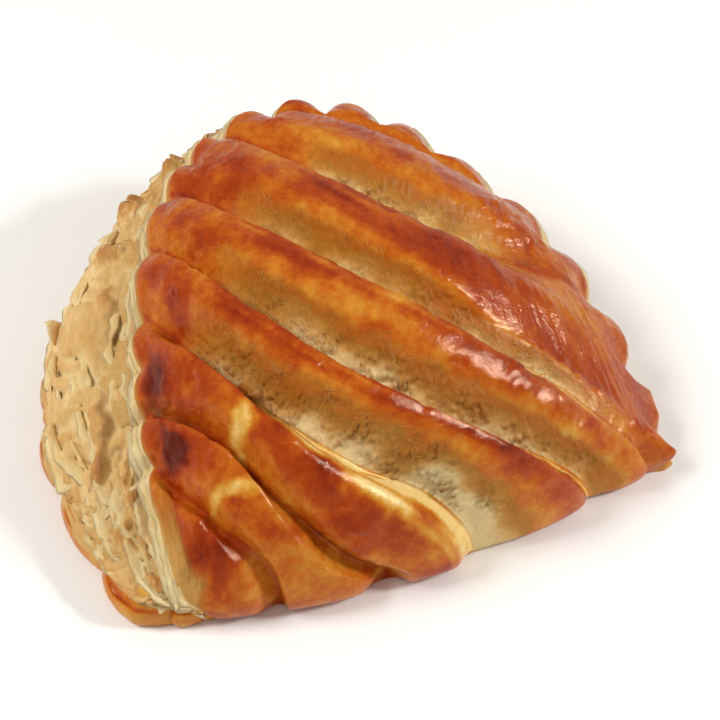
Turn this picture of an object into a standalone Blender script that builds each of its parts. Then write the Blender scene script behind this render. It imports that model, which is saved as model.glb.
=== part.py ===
"""A baked turnover: a sheet of puff dough folded over its filling, scored across the top and scalloped.

The fold lies along the front, towards -Y. The two leaves of the sheet part round the back and the left,
where the upper leaf rises and the lower one stays on the table. Sizes are in millimetres, and the mesh is
written in metres. The origin is the middle of the footprint, on the table.

The top is a grid. ACROSS counts the bands between the scores, 0 on the back right rim and 8 at the front
left corner, with a score at each whole number between. ALONG runs down a band from the rim on the left, 0,
to its far end, 1.
"""

import bmesh
import bpy
import numpy as np

MM = 0.001

# The sheet, seen from above: half an ellipse behind the fold, and a shallow bulge in front of it.
RIM_MIDDLE = np.array([10.01, -51.26])
RIM_HALF_WIDTH = 60.0
RIM_DEPTH = 106.0
FOLD_BULGE = 13.0
FOLD_SQUARENESS = 0.8
HEART = np.array([4.69, -13.16])  # the plan point under the crown
CROWN_HEIGHT = 51.0
CROWN_RADIUS = 60.0

# Round the rim, by the angle in degrees from +X at its middle: 0 the right tip, 180 the left, 270 the fold.
RIM_HEIGHT = {0: 7.5, 15: 17.5, 30: 25.5, 50: 31.5, 75: 39.5, 100: 42, 125: 42.5, 140: 40.5, 156: 33,
              167: 25, 180: 14, 193: 8.5, 212: 6.5, 270: 6.5, 340: 7}
LEAF_REACH = {0: 0.5, 15: 1, 30: 2.5, 60: 6, 90: 9, 107: 14, 125: 19.5, 136: 23.5, 147: 26, 157: 24.5,
              168: 19, 176: 15, 184: 7, 193: 2, 205: 0, 220: -5, 270: -6, 340: -4}
LEAF_THICKNESS = {0: 4, 60: 6, 120: 7, 170: 7.5, 200: 6, 270: 5, 340: 4}
MOUTH = {0: 0.25, 20: 0.8, 40: 1, 170: 1, 182: 0.9, 196: 0.25, 206: 0, 330: 0}  # 0 shut, 1 open
WALL_SWELL = {60: 0.7, 110: 1, 156: 1, 170: 0.35, 200: 0.2, 300: 0.4}
CROWN_FULLNESS = {0: 1.9, 30: 2.0, 90: 2.6, 180: 2.6, 230: 2.2, 300: 2.1, 340: 1.9}
CROWN_ROLL = {0: 0.9, 30: 1, 165: 1, 180: 0.9, 225: 0.62, 300: 0.62, 335: 0.75}  # 1 a slope, 0.5 round

# Scallops: where the notches between the lobes are, and how deep they go.
RIM_NOTCHES = [2, 10.5, 20.5, 31, 43, 55.5, 67, 80, 93, 107, 117, 127, 138, 148, 155.5, 161.5, 167, 173,
               225, 255, 276.5, 311, 334]
RIM_NOTCH_DEPTH = {0: 4.5, 95: 4.5, 112: 3.2, 138: 2.4, 152: 2.0, 166: 2.0, 173: 1.0, 215: 1.0, 320: 1.2,
                   342: 4.5}
RIM_NOTCH_START = 0.88  # share of the way out where a notch begins
RIM_NOTCH_DIP = 0.33  # how far a notch dips, as a share of its depth
LEAF_NOTCHES = [5, 18, 30, 42, 53, 64, 76, 88, 99, 109, 119, 129, 139.5, 150.5, 161, 172.5, 186, 196, 330]
LEAF_NOTCH_DEPTH = 3.0
LOBE_SQUARENESS = 2.2

# Bands: the rim angles where each of the nine lines leaves and meets the edge, and its bow to the front.
LINE_START = [86.5, 93, 107, 125.5, 137, 148, 161, 167, 183]
LINE_END = [37, 31, 19, -28, -49, -83.5, -105, -135, -149]
LINE_BOW = [0, -3, 12, 11, 18.5, 10.5, 8, 0, 0]
BOW_SKEW = [1.2, 1.2, 1.2, 1.2, 1.2, 1.2, 2.4, 1.2, 1.2]  # above 1, the bow is nearer the far end
BAND_SWELL = 2.2
BAND_CREST = 0.75  # below 1, the swell's crest is nearer the lip
SWELL_AT_RIM = 0.15  # share of the swell left at the rim

# Scores 1 to 7: the depth, the share of the band behind that slopes in, and where along it the score fades.
SCORE_DEPTH = [0, 2.0, 4.0, 5.0, 5.5, 6.5, 5.0, 4.5, 0]
SCORE_SPREAD = [0, 0.30, 0.45, 0.50, 0.55, 0.60, 0.26, 0.24, 0]
SCORE_FADE = [1, 0.90, 0.95, 0.85, 1.6, 1.6, 1.6, 1.6, 1]
LIP = [0, 0.16, 0.16, 0.16, 0.16, 0.38, 0.16, 0.18, 0]  # share of a band taken by the steep side in front
LIP_AT_FOLD = 0.26
SCORE_RUN_IN = 0.22  # share of a score's length before it has its whole depth and spread
SCORE_START_DEPTH = 0.4  # share of the depth at its very start
SCORE_START_SPREAD = 0.45
EDGE_START = 0.7  # share of the way out where the scores and bands start to change towards the edge
# At the fold's edge: the shares of a score's depth that are cut inwards, and that are lost from its height.
FOLD_INSET = {0: 0, 195: 0, 228: 1.1, 258: 1.1, 277: 0.5, 320: 0.5}
FOLD_SHALLOWING = {0: 0, 180: 0, 215: 0.5, 320: 0.5}

# The edge below the top, from the upper leaf's lip to the table.
UPPER_LEAF_THICKNESS = 5.0
UPPER_EDGE = [(1.0, 0.3), (0.3, 0.7), (-1.5, 1.0)]  # outwards in mm, and down as a share of the thickness
WALL_STEPS = [0.2, 0.4, 0.6, 0.8, 1.0]
WALL_FOOT = 1.15  # where the wall meets the lower leaf, as a share of the leaf's thickness
LOWER_EDGE = [(-2.0, 1.0), (-0.5, 0.8), (0.0, 0.5), (-0.8, 0.16), (-2.5, 0.0)]  # beyond the reach, and height
FOLD_UNDERCUT = 6.5

BAND_STEPS = [0, 0.08, 0.2, 0.5, 0.72]  # where a band's grid lines lie
BANDS = 8
LENGTHWISE_CELLS = 36
SMOOTHINGS = 3  # rounds that even out the grid in plan, so that it follows the scallops
LENGTHWISE_CROWDING = 0.3  # how much closer the grid lines stand towards the bands' ends

CRUST = ((0.46, 0.17, 0.035, 1.0), 0.4)  # linear base colour, roughness


def ease(low, high, value):
    """0 below low, 1 above high, and a smooth step between."""
    share = np.clip((value - low) / (high - low), 0, 1)
    return share * share * (3 - 2 * share)


def round_rim(table, angle):
    """The value at a rim angle, in radians, on a smooth closed curve through a table of degrees."""
    degrees = np.array(sorted(table), float)
    values = np.tile([float(table[d]) for d in sorted(table)], 3)
    degrees = np.concatenate([degrees - 360, degrees, degrees + 360])
    rise = np.diff(values) / np.diff(degrees)
    slope = np.zeros_like(values)
    both = rise[:-1] * rise[1:]
    slope[1:-1] = np.where(both > 0, 2 * both / np.where(both > 0, rise[:-1] + rise[1:], 1), 0)
    at = np.mod(np.degrees(angle), 360)
    i = np.searchsorted(degrees, at, side="right") - 1
    gap = degrees[i + 1] - degrees[i]
    u = (at - degrees[i]) / gap
    near = values[i] * (1 + 2 * u) * (1 - u) ** 2 + slope[i] * gap * u * (1 - u) ** 2
    far = values[i + 1] * u * u * (3 - 2 * u) + slope[i + 1] * gap * u * u * (u - 1)
    return near + far


def across_lines(table, across):
    """A smooth value between the nine lines of the bands."""
    values = np.array(table, float)
    i = np.clip(np.floor(across).astype(int), 0, BANDS - 1)
    u = across - i
    before, here = values[np.maximum(i - 1, 0)], values[i]
    after, beyond = values[i + 1], values[np.minimum(i + 2, BANDS)]
    bend = 2 * before - 5 * here + 4 * after - beyond
    return here + 0.5 * u * (after - before + u * (bend + u * (3 * (here - after) + beyond - before)))


def rim_point(angle):
    """The sheet's smooth outline, before it is scalloped."""
    cosine, sine = np.cos(angle), np.sin(angle)
    bulge = FOLD_BULGE * (1 - 0.5 * ease(-0.1, 1, cosine)) * np.abs(sine) ** FOLD_SQUARENESS
    back = np.where(sine > 0, RIM_DEPTH * sine, -bulge)
    return RIM_MIDDLE + np.stack([RIM_HALF_WIDTH * cosine, back], axis=-1)


def outward(angle):
    """The plan direction in which the lower leaf stands out from the rim."""
    depth = np.where(np.sin(angle) > 0, RIM_DEPTH, 0.67 * RIM_HALF_WIDTH)
    direction = np.stack([np.cos(angle) / RIM_HALF_WIDTH, np.sin(angle) / depth], axis=-1)
    return direction / np.linalg.norm(direction, axis=-1, keepdims=True)


def rim_table():
    """Bearing and distance of the outline from the heart, at closely spaced rim angles."""
    angles = np.linspace(-np.pi, 2 * np.pi, 2161)
    from_heart = rim_point(angles) - HEART
    bearings = np.unwrap(np.arctan2(from_heart[:, 1], from_heart[:, 0]))
    return angles, bearings, np.linalg.norm(from_heart, axis=1)


def rim_polar(plan):
    """The rim angle that a plan point faces, and its distance out: 0 at the heart, 1 on the outline."""
    angles, bearings, distances = rim_table()
    from_heart = plan - HEART
    bearing = np.arctan2(from_heart[..., 1], from_heart[..., 0])
    bearing = bearings[0] + np.mod(bearing - bearings[0], 2 * np.pi)
    distance = np.linalg.norm(from_heart, axis=-1)
    return np.interp(bearing, bearings, angles), distance / np.interp(bearing, bearings, distances)


def notched(notches, angle):
    """0 along a lobe's tip, rising to 1 in the notches on its two sides."""
    places = np.array(notches, float)
    places = np.concatenate([places - 360, places, places + 360])
    at = np.mod(np.degrees(angle), 360)
    i = np.searchsorted(places, at, side="right") - 1
    across_lobe = 2 * (at - places[i]) / (places[i + 1] - places[i]) - 1
    return np.abs(across_lobe) ** LOBE_SQUARENESS


def plan_point(across, along):
    """Where a grid point lies in plan: on a bowed line, or on the outline at the first and last line."""
    start = np.radians(across_lines(LINE_START, across))
    end = np.radians(across_lines(LINE_END, across))
    chord = rim_point(end) - rim_point(start)
    sideways = np.stack([chord[..., 1], -chord[..., 0]], axis=-1)
    sideways /= np.linalg.norm(sideways, axis=-1, keepdims=True)
    skewed = along ** across_lines(BOW_SKEW, across)
    bow = across_lines(LINE_BOW, across) * np.sin(np.pi * skewed)
    line = rim_point(start) + chord * along[..., None] + sideways * bow[..., None]
    end = np.where(across > BANDS / 2, end + 2 * np.pi, end)
    outline = rim_point(start + (end - start) * along)
    hug = np.maximum(np.clip(1 - across, 0, 1), np.clip(across - BANDS + 1, 0, 1))
    return line + (outline - line) * hug[..., None]


def crown(plan, angle, out):
    """Height of the unscored top: domed to the rim, and rolled over at the fold."""
    rim = round_rim(RIM_HEIGHT, angle)
    rounded = np.linalg.norm((plan - HEART) / CROWN_RADIUS, axis=-1)
    spread = np.clip(rounded + (out - rounded) * np.clip(out, 0, 1) ** 2, 0, 1)
    dome = 1 - spread ** round_rim(CROWN_FULLNESS, angle)
    return rim + (CROWN_HEIGHT - rim) * dome ** round_rim(CROWN_ROLL, angle)


def score_depth(across, along):
    """How far the scores cut below the crown: a steep lip in front, a long slope behind."""
    depth = np.zeros_like(across)
    run_in = ease(0, SCORE_RUN_IN, along)
    deepening = SCORE_START_DEPTH + (1 - SCORE_START_DEPTH) * run_in
    widening = SCORE_START_SPREAD + (1 - SCORE_START_SPREAD) * run_in
    for score in range(1, BANDS):
        fade = 1 - ease(SCORE_FADE[score] - 0.25, SCORE_FADE[score], along)
        here = SCORE_DEPTH[score] * deepening * fade
        width = LIP[score] + (LIP_AT_FOLD - LIP[score]) * ease(0.6, 1, along)
        lip = 1 - ease(0, width, across - score)
        slope = ease(-SCORE_SPREAD[score] * widening, 0, across - score)
        depth += here * np.where(across >= score, lip, slope)
    return depth


def top_point(across, along):
    """A point of the scored, scalloped top."""
    plan = plan_point(across, along)
    angle, out = rim_polar(plan)
    score = score_depth(across, along)
    at_edge = ease(EDGE_START, 1, out)
    notch = round_rim(RIM_NOTCH_DEPTH, angle) * notched(RIM_NOTCHES, angle) * ease(RIM_NOTCH_START, 1, out)
    height = crown(plan, angle, out) - RIM_NOTCH_DIP * notch
    height -= score * (1 - round_rim(FOLD_SHALLOWING, angle) * at_edge)
    swell = BAND_SWELL * np.sin(np.pi * np.mod(across, 1) ** BAND_CREST)
    height += swell * (1 - (1 - SWELL_AT_RIM) * at_edge)
    inset = notch + score * round_rim(FOLD_INSET, angle) * at_edge
    from_heart = plan - HEART
    inset /= np.maximum(np.linalg.norm(from_heart, axis=-1), 1)
    plan = HEART + from_heart * (1 - inset)[..., None]
    return np.concatenate([plan, height[..., None]], axis=-1)


def wall_profile(angle, rim):
    """Rings of the open mouth at a rim angle, each as a distance outwards and a height."""
    reach = round_rim(LEAF_REACH, angle)
    leaf = round_rim(LEAF_THICKNESS, angle)
    swell = round_rim(WALL_SWELL, angle)
    thickness = UPPER_LEAF_THICKNESS * np.minimum(1, rim / 22)
    rings = [(outwards + 0 * rim, rim - share * thickness) for outwards, share in UPPER_EDGE]
    recess = UPPER_EDGE[-1][0]
    foot = WALL_FOOT * leaf
    for step in WALL_STEPS:
        sideways = swell * np.sin(step * np.pi / 2) ** 0.85 + (1 - swell) * step
        upright = swell * np.cos(step * np.pi / 2) + (1 - swell) * (1 - step)
        outwards = recess + (reach + LOWER_EDGE[0][0] - recess) * sideways
        rings.append((outwards, foot + (rim - thickness - foot) * upright))
    rings += [(reach + outwards, leaf * share) for outwards, share in LOWER_EDGE]
    return rings


def side_rings(across, along):
    """The edge below the top's border, ring by ring from the upper leaf's lip down to the table."""
    border = top_point(across, along)
    angle = rim_polar(plan_point(across, along))[0]
    smooth_rim = rim_point(angle)
    smooth_height = round_rim(RIM_HEIGHT, angle)
    mouth = round_rim(MOUTH, angle)
    leaf_inset = LEAF_NOTCH_DEPTH * notched(LEAF_NOTCHES, angle)
    count = len(UPPER_EDGE) + len(WALL_STEPS) + len(LOWER_EDGE)
    rings = []
    for i in range(count):
        lower = ease(len(UPPER_EDGE) - 1, len(UPPER_EDGE) + 2, i) * mouth
        rim = border[:, 2] + (smooth_height - border[:, 2]) * lower
        outwards, height = wall_profile(angle, rim)[i]
        outwards = outwards - leaf_inset * ease(len(UPPER_EDGE) + 1, count - len(LOWER_EDGE) - 1, i)
        down = (i + 1) / count
        outwards = mouth * outwards - (1 - mouth) * FOLD_UNDERCUT * (1 - np.cos(down * np.pi / 2))
        height = mouth * height + (1 - mouth) * rim * (1 - np.sin(down * np.pi / 2))
        evened = np.maximum(lower, (1 - mouth) * ease(0.3, 1, down))
        plan = border[:, :2] + (smooth_rim - border[:, :2]) * evened[:, None]
        plan = plan + outward(angle) * outwards[:, None]
        rings.append(np.concatenate([plan, height[:, None]], axis=-1))
    return rings


def grid_lines():
    """The grid's values across the bands and along them."""
    across = [band + step for band in range(BANDS) for step in BAND_STEPS] + [BANDS]
    turn = np.linspace(0, 1, LENGTHWISE_CELLS + 1) * 2 * np.pi
    return np.array(across, float), (turn - LENGTHWISE_CROWDING * np.sin(turn)) / (2 * np.pi)


def drape_top(mesh):
    """Lay a flat grid over the crown, and give the grid place of each vertex."""
    across, along = grid_lines()
    made = bmesh.ops.create_grid(mesh, x_segments=len(across) - 1, y_segments=len(along) - 1, size=0.5)
    places = {}
    for vertex in made["verts"]:
        column = round((vertex.co.x + 0.5) * (len(across) - 1))
        row = round((vertex.co.y + 0.5) * (len(along) - 1))
        places[vertex] = (across[column], along[row])
    points = top_point(*np.array(list(places.values())).T)
    for vertex, point in zip(places, points):
        vertex.co = point * MM
    inner = [vertex for vertex in places if not vertex.is_boundary]
    for _ in range(SMOOTHINGS):
        bmesh.ops.smooth_vert(mesh, verts=inner, factor=0.5, use_axis_x=True, use_axis_y=True)
    return places


def border_loop(mesh, places):
    """The border's vertices in order, walking edge by edge."""
    edges = [edge for edge in mesh.edges if edge.is_boundary]
    first = edges[0].verts[0]
    loop = [first]
    edge = edges[0]
    while True:
        following = edge.other_vert(loop[-1])
        if following is first:
            return loop, [places[vertex] for vertex in loop]
        loop.append(following)
        edge = next(e for e in following.link_edges if e.is_boundary and e is not edge)


def lower_side(mesh, loop, loop_places):
    """Carry the border down as rings, and close the last one as the flat base."""
    rings = side_rings(*np.array(loop_places).T)
    upper = loop
    for ring in rings:
        lower = [mesh.verts.new(point * MM) for point in ring]
        for i in range(len(upper)):
            j = (i + 1) % len(upper)
            mesh.faces.new((upper[i], upper[j], lower[j], lower[i]))
        upper = lower
    mesh.faces.new(upper)


def crust_material():
    colour, roughness = CRUST
    material = bpy.data.materials.new("baked_puff_pastry")
    material.use_nodes = True
    shader = material.node_tree.nodes["Principled BSDF"]
    shader.inputs["Base Color"].default_value = colour
    shader.inputs["Roughness"].default_value = roughness
    shader.inputs["Metallic"].default_value = 0.0
    return material


def build_turnover(collection):
    mesh = bmesh.new()
    places = drape_top(mesh)
    lower_side(mesh, *border_loop(mesh, places))
    bmesh.ops.triangulate(mesh, faces=[face for face in mesh.faces if len(face.verts) > 4])
    bmesh.ops.recalc_face_normals(mesh, faces=mesh.faces)
    data = bpy.data.meshes.new("turnover")
    mesh.to_mesh(data)
    mesh.free()
    data.shade_smooth()
    data.materials.append(crust_material())
    turnover = bpy.data.objects.new("turnover", data)
    collection.objects.link(turnover)
    return turnover


def main():
    for old in list(bpy.data.objects):
        bpy.data.objects.remove(old, do_unlink=True)
    collection = bpy.data.collections.new("turnover_pastry")
    bpy.context.scene.collection.children.link(collection)
    build_turnover(collection)


main()
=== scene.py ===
"""Looks of a baked turnover: glazed and scored puff pastry, with porous crumb in the scores and open leaves at the side.

The sheet's shape comes from the same named sizes as its CAD solid, on a much finer grid. Sizes are in millimetres
until a mesh is made. ACROSS counts the bands between the scores, 0 on the back right rim and 8 at the front left
corner; ALONG runs down a band from the rim on the left, 0, to its far end, 1. The rim's angle is in degrees from +X.
"""

import itertools

import bmesh
import bpy
import numpy as np
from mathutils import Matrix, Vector


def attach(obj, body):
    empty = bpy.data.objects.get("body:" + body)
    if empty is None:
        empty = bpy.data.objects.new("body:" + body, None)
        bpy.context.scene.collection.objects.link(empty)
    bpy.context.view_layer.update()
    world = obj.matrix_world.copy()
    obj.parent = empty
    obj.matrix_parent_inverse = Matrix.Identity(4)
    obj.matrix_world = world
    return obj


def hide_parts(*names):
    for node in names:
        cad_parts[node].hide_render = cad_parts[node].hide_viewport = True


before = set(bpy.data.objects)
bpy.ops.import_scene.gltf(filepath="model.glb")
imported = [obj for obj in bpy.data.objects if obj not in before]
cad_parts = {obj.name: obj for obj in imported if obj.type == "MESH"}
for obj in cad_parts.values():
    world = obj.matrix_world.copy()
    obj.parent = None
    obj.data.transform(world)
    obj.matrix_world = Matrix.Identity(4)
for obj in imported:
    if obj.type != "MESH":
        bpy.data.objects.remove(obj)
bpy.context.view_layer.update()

MM = 0.001

# ---------------------------------------------------------------- the sheet's shape, as in the CAD solid
RIM_MIDDLE = np.array([10.01, -51.26])
RIM_HALF_WIDTH = 60.0
RIM_DEPTH = 106.0
FOLD_BULGE = 13.0
FOLD_SQUARENESS = 0.8
HEART = np.array([4.69, -13.16])
CROWN_HEIGHT = 51.0
CROWN_RADIUS = 60.0
RIM_HEIGHT = {0: 7.5, 15: 17.5, 30: 25.5, 50: 31.5, 75: 39.5, 100: 42, 125: 42.5, 140: 40.5, 156: 33, 167: 25,
              180: 14, 193: 8.5, 212: 6.5, 270: 6.5, 340: 7}
LEAF_REACH = {0: 0.5, 15: 1, 30: 2.5, 60: 6, 90: 9, 107: 14, 125: 19.5, 136: 23.5, 147: 26, 157: 24.5, 168: 19,
              176: 15, 184: 7, 193: 2, 205: 0, 220: -5, 270: -6, 340: -4}
LEAF_THICKNESS = {0: 4, 60: 6, 120: 7, 170: 7.5, 200: 6, 270: 5, 340: 4}
MOUTH = {0: 0.25, 20: 0.8, 40: 1, 170: 1, 182: 0.9, 196: 0.25, 206: 0, 330: 0}
WALL_SWELL = {60: 0.7, 110: 1, 156: 1, 170: 0.35, 200: 0.2, 300: 0.4}
CROWN_FULLNESS = {0: 1.9, 30: 2.0, 90: 2.6, 180: 2.6, 230: 2.2, 300: 2.1, 340: 1.9}
CROWN_ROLL = {0: 0.9, 30: 1, 165: 1, 180: 0.9, 225: 0.62, 300: 0.62, 335: 0.75}
RIM_NOTCHES = [2, 10.5, 20.5, 31, 43, 55.5, 67, 80, 93, 107, 117, 127, 138, 148, 155.5, 161.5, 167, 173, 225, 255,
               276.5, 311, 334]
RIM_NOTCH_DEPTH = {0: 4.5, 95: 4.5, 112: 3.2, 138: 2.4, 152: 2.0, 166: 2.0, 173: 1.0, 215: 1.0, 320: 1.2, 342: 4.5}
RIM_NOTCH_START = 0.88
RIM_NOTCH_DIP = 0.33
LEAF_NOTCHES = [5, 18, 30, 42, 53, 64, 76, 88, 99, 109, 119, 129, 139.5, 150.5, 161, 172.5, 186, 196, 330]
LEAF_NOTCH_DEPTH = 3.0
LOBE_SQUARENESS = 2.2
BANDS = 8
LINE_START = [86.5, 93, 107, 125.5, 137, 148, 161, 167, 183]
LINE_END = [37, 31, 19, -28, -49, -83.5, -105, -135, -149]
LINE_BOW = [0, -3, 12, 11, 18.5, 10.5, 8, 0, 0]
BOW_SKEW = [1.2, 1.2, 1.2, 1.2, 1.2, 1.2, 2.4, 1.2, 1.2]
BAND_SWELL = 2.2
BAND_CREST = 0.75
SWELL_AT_RIM = 0.15
SCORE_DEPTH = [0, 2.0, 4.0, 5.0, 5.5, 6.5, 5.0, 4.5, 0]
SCORE_SPREAD = [0, 0.30, 0.45, 0.50, 0.55, 0.60, 0.26, 0.24, 0]
SCORE_FADE = [1, 0.90, 0.95, 0.85, 1.6, 1.6, 1.6, 1.6, 1]
LIP = [0, 0.16, 0.16, 0.16, 0.16, 0.38, 0.16, 0.18, 0]
LIP_AT_FOLD = 0.26
SCORE_RUN_IN = 0.22
SCORE_START_DEPTH = 0.4
SCORE_START_SPREAD = 0.45
EDGE_START = 0.7
FOLD_INSET = {0: 0, 195: 0, 228: 1.1, 258: 1.1, 277: 0.5, 320: 0.5}
FOLD_SHALLOWING = {0: 0, 180: 0, 215: 0.5, 320: 0.5}
UPPER_LEAF_THICKNESS = 5.0
UPPER_EDGE = [(1.0, 0.3), (0.3, 0.7), (-1.5, 1.0)]
WALL_FOOT = 1.15
LOWER_EDGE = [(-2.0, 1.0), (-0.5, 0.8), (0.0, 0.5), (-0.8, 0.16), (-2.5, 0.0)]
FOLD_UNDERCUT = 6.5

# ---------------------------------------------------------------- how fine the pieces are
TOP_COLUMNS = 34  # grid lines in a band
COLUMN_CROWDING = ([0, 0.14, 0.22, 0.46, 0.56, 1], [1.7, 1.7, 0.8, 0.8, 2.2, 2.2])  # how close they stand
TOP_ROWS = 296
WALL_RINGS = 6
WALL_RECESS = 5.5  # how far the plain side lies behind the open layers, in mm
BASE_HOLLOW = 0.4  # how far the underside is drawn up off the table inside its edge, in mm
BASE_BORDER = 0.05  # share of the way to the middle that the underside's edge takes

# ---------------------------------------------------------------- what the oven did, and where the lips get a painted highlight
OPENING = {  # along each score: where the dough has torn open, 0 to 1
    0: [(0, 0), (1, 0)],
    1: [(0, 0), (1, 0)],
    2: [(0.24, 0), (0.32, 1), (0.66, 1), (0.80, 0.1), (1, 0)],
    3: [(0.14, 0), (0.24, 1), (0.80, 1), (0.93, 0)],
    4: [(0.17, 0), (0.27, 1), (0.93, 1), (1.00, 0.7)],
    5: [(0.16, 0), (0.30, 1), (1.00, 1)],
    6: [(0.10, 0.2), (0.30, 0), (1.0, 0)],
    7: [(0.00, 0), (1.00, 0)],
    8: [(0, 0), (1, 0)],
}
CRUMB_WIDTH = [0, 0.26, 0.34, 0.40, 0.44, 0.50, 0.16, 0.16, 0.16]  # behind each score, as a share of a band
LIP_HIGHLIGHT_FROM = [0, 0.04, 0.04, 0.04, 0.04, 0, 0.04, 0.04]  # where on the lip the painted highlight along the glaze's crest begins
BAND_TONES = ([0, 0.05, 0.14, 0.32, 0.48, 0.64, 1.0], [0.26, 0.34, 0.58, 0.66, 0.46, 0.34, 0.30])
PATCHES = [  # across, along, half sizes across and along, change in how brown
    (5.74, 0.075, 0.34, 0.070, 0.40), (6.58, 0.205, 0.34, 0.100, 0.52), (7.22, 0.595, 0.26, 0.160, 0.22),
    (6.55, 0.21, 0.70, 0.20, 0.15), (7.45, 0.33, 0.45, 0.26, 0.12), (5.62, 0.21, 0.40, 0.13, 0.12),
    (7.43, 0.212, 0.30, 0.140, 0.10), (6.35, 0.120, 0.30, 0.060, 0.12),
    (4.50, 0.090, 0.35, 0.090, 0.14), (3.20, 0.035, 0.40, 0.060, 0.16), (4.73, 0.143, 0.25, 0.050, 0.12),
    (1.30, 0.35, 0.45, 0.10, 0.10), (2.77, 0.29, 0.25, 0.12, 0.10), (3.22, 0.48, 0.30, 0.08, -0.20),
    (3.62, 0.62, 0.22, 0.18, 0.10), (1.75, 0.46, 0.30, 0.12, 0.12), (4.42, 0.53, 0.25, 0.10, -0.08),
    (5.45, 0.30, 0.30, 0.12, 0.10), (5.76, 0.427, 0.34, 0.042, -0.40), (5.50, 0.450, 0.20, 0.044, -0.24),
    (6.60, 0.54, 0.34, 0.038, -0.36), (6.34, 0.570, 0.22, 0.044, -0.26),
    (5.15, 0.78, 0.24, 0.32, -0.44), (5.55, 0.76, 0.22, 0.30, 0.16), (3.32, 0.195, 0.20, 0.05, -0.06), (2.50, 0.152, 0.25, 0.06, 0.10),
    (1.55, 0.32, 0.20, 0.12, -0.10), (6.42, 0.87, 0.30, 0.12, -0.08), (2.35, 0.725, 0.25, 0.12, 0.12), (1.80, 0.83, 0.30, 0.10, 0.10), (7.32, 0.728, 0.30, 0.10, 0.18),
]
PALE_PATCHES = [  # across, along, half sizes, how much paler the crumb is there
    (4.80, 0.93, 0.35, 0.14, 0.40), (4.75, 0.72, 0.25, 0.10, 0.15), (3.85, 0.55, 0.15, 0.10, 0.20),
]
CRUMPLED = [  # across, along, half sizes, how strongly the glaze has wrinkled there
    (5.92, 0.118, 0.16, 0.030, 1.0), (4.93, 0.177, 0.16, 0.030, 1.0), (3.90, 0.150, 0.16, 0.040, 0.9),
    (6.88, 0.10, 0.20, 0.030, 1.0), (3.38, 0.78, 0.30, 0.10, 0.8), (4.53, 0.78, 0.30, 0.10, 0.8),
    (2.37, 0.76, 0.30, 0.10, 0.8), (2.40, 0.863, 0.35, 0.09, 1.0), (1.60, 0.80, 0.35, 0.10, 0.8),
    (6.42, 0.87, 0.30, 0.08, 0.6), (2.80, 0.14, 0.20, 0.05, 0.7), (7.43, 0.212, 0.20, 0.06, 0.8),
]
STREAKED = [(5.14, 0.74, 0.24, 0.34, 1.0)]  # across, along, half sizes, how strongly the dough is drawn out there
STEAM_HOLE = (4.90, 0.395, 0.065, 0.030, 3.2)  # across, along, half sizes, depth in mm
BLISTER_SIZE = 5.5
WRINKLE_SIZE = 6.0


def ease(low, high, value):
    """0 below low, 1 above high, and a smooth step between."""
    share = np.clip((value - low) / (high - low), 0, 1)
    return share * share * (3 - 2 * share)


def round_rim(table, angle):
    """The value at a rim angle, in radians, on a smooth closed curve through a table of degrees."""
    degrees = np.array(sorted(table), float)
    values = np.tile([float(table[d]) for d in sorted(table)], 3)
    degrees = np.concatenate([degrees - 360, degrees, degrees + 360])
    rise = np.diff(values) / np.diff(degrees)
    slope = np.zeros_like(values)
    both = rise[:-1] * rise[1:]
    slope[1:-1] = np.where(both > 0, 2 * both / np.where(both > 0, rise[:-1] + rise[1:], 1), 0)
    at = np.mod(np.degrees(angle), 360)
    i = np.searchsorted(degrees, at, side="right") - 1
    gap = degrees[i + 1] - degrees[i]
    u = (at - degrees[i]) / gap
    near = values[i] * (1 + 2 * u) * (1 - u) ** 2 + slope[i] * gap * u * (1 - u) ** 2
    far = values[i + 1] * u * u * (3 - 2 * u) + slope[i + 1] * gap * u * u * (u - 1)
    return near + far


def across_lines(table, across):
    """A smooth value between the nine lines of the bands."""
    values = np.array(table, float)
    i = np.clip(np.floor(across).astype(int), 0, BANDS - 1)
    u = across - i
    before, here = values[np.maximum(i - 1, 0)], values[i]
    after, beyond = values[i + 1], values[np.minimum(i + 2, BANDS)]
    bend = 2 * before - 5 * here + 4 * after - beyond
    return here + 0.5 * u * (after - before + u * (bend + u * (3 * (here - after) + beyond - before)))


def rim_point(angle):
    """The sheet's smooth outline, before it is scalloped."""
    cosine, sine = np.cos(angle), np.sin(angle)
    bulge = FOLD_BULGE * (1 - 0.5 * ease(-0.1, 1, cosine)) * np.abs(sine) ** FOLD_SQUARENESS
    back = np.where(sine > 0, RIM_DEPTH * sine, -bulge)
    return RIM_MIDDLE + np.stack([RIM_HALF_WIDTH * cosine, back], axis=-1)


def outward(angle):
    """The plan direction in which the lower leaf stands out from the rim."""
    depth = np.where(np.sin(angle) > 0, RIM_DEPTH, 0.67 * RIM_HALF_WIDTH)
    direction = np.stack([np.cos(angle) / RIM_HALF_WIDTH, np.sin(angle) / depth], axis=-1)
    return direction / np.linalg.norm(direction, axis=-1, keepdims=True)


def rim_table():
    """Bearing and distance of the outline from the heart, at closely spaced rim angles."""
    angles = np.linspace(-np.pi, 2 * np.pi, 2161)
    from_heart = rim_point(angles) - HEART
    bearings = np.unwrap(np.arctan2(from_heart[:, 1], from_heart[:, 0]))
    return angles, bearings, np.linalg.norm(from_heart, axis=1)


def rim_polar(plan):
    """The rim angle that a plan point faces, and its distance out: 0 at the heart, 1 on the outline."""
    angles, bearings, distances = rim_table()
    from_heart = plan - HEART
    bearing = np.arctan2(from_heart[..., 1], from_heart[..., 0])
    bearing = bearings[0] + np.mod(bearing - bearings[0], 2 * np.pi)
    distance = np.linalg.norm(from_heart, axis=-1)
    return np.interp(bearing, bearings, angles), distance / np.interp(bearing, bearings, distances)


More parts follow.
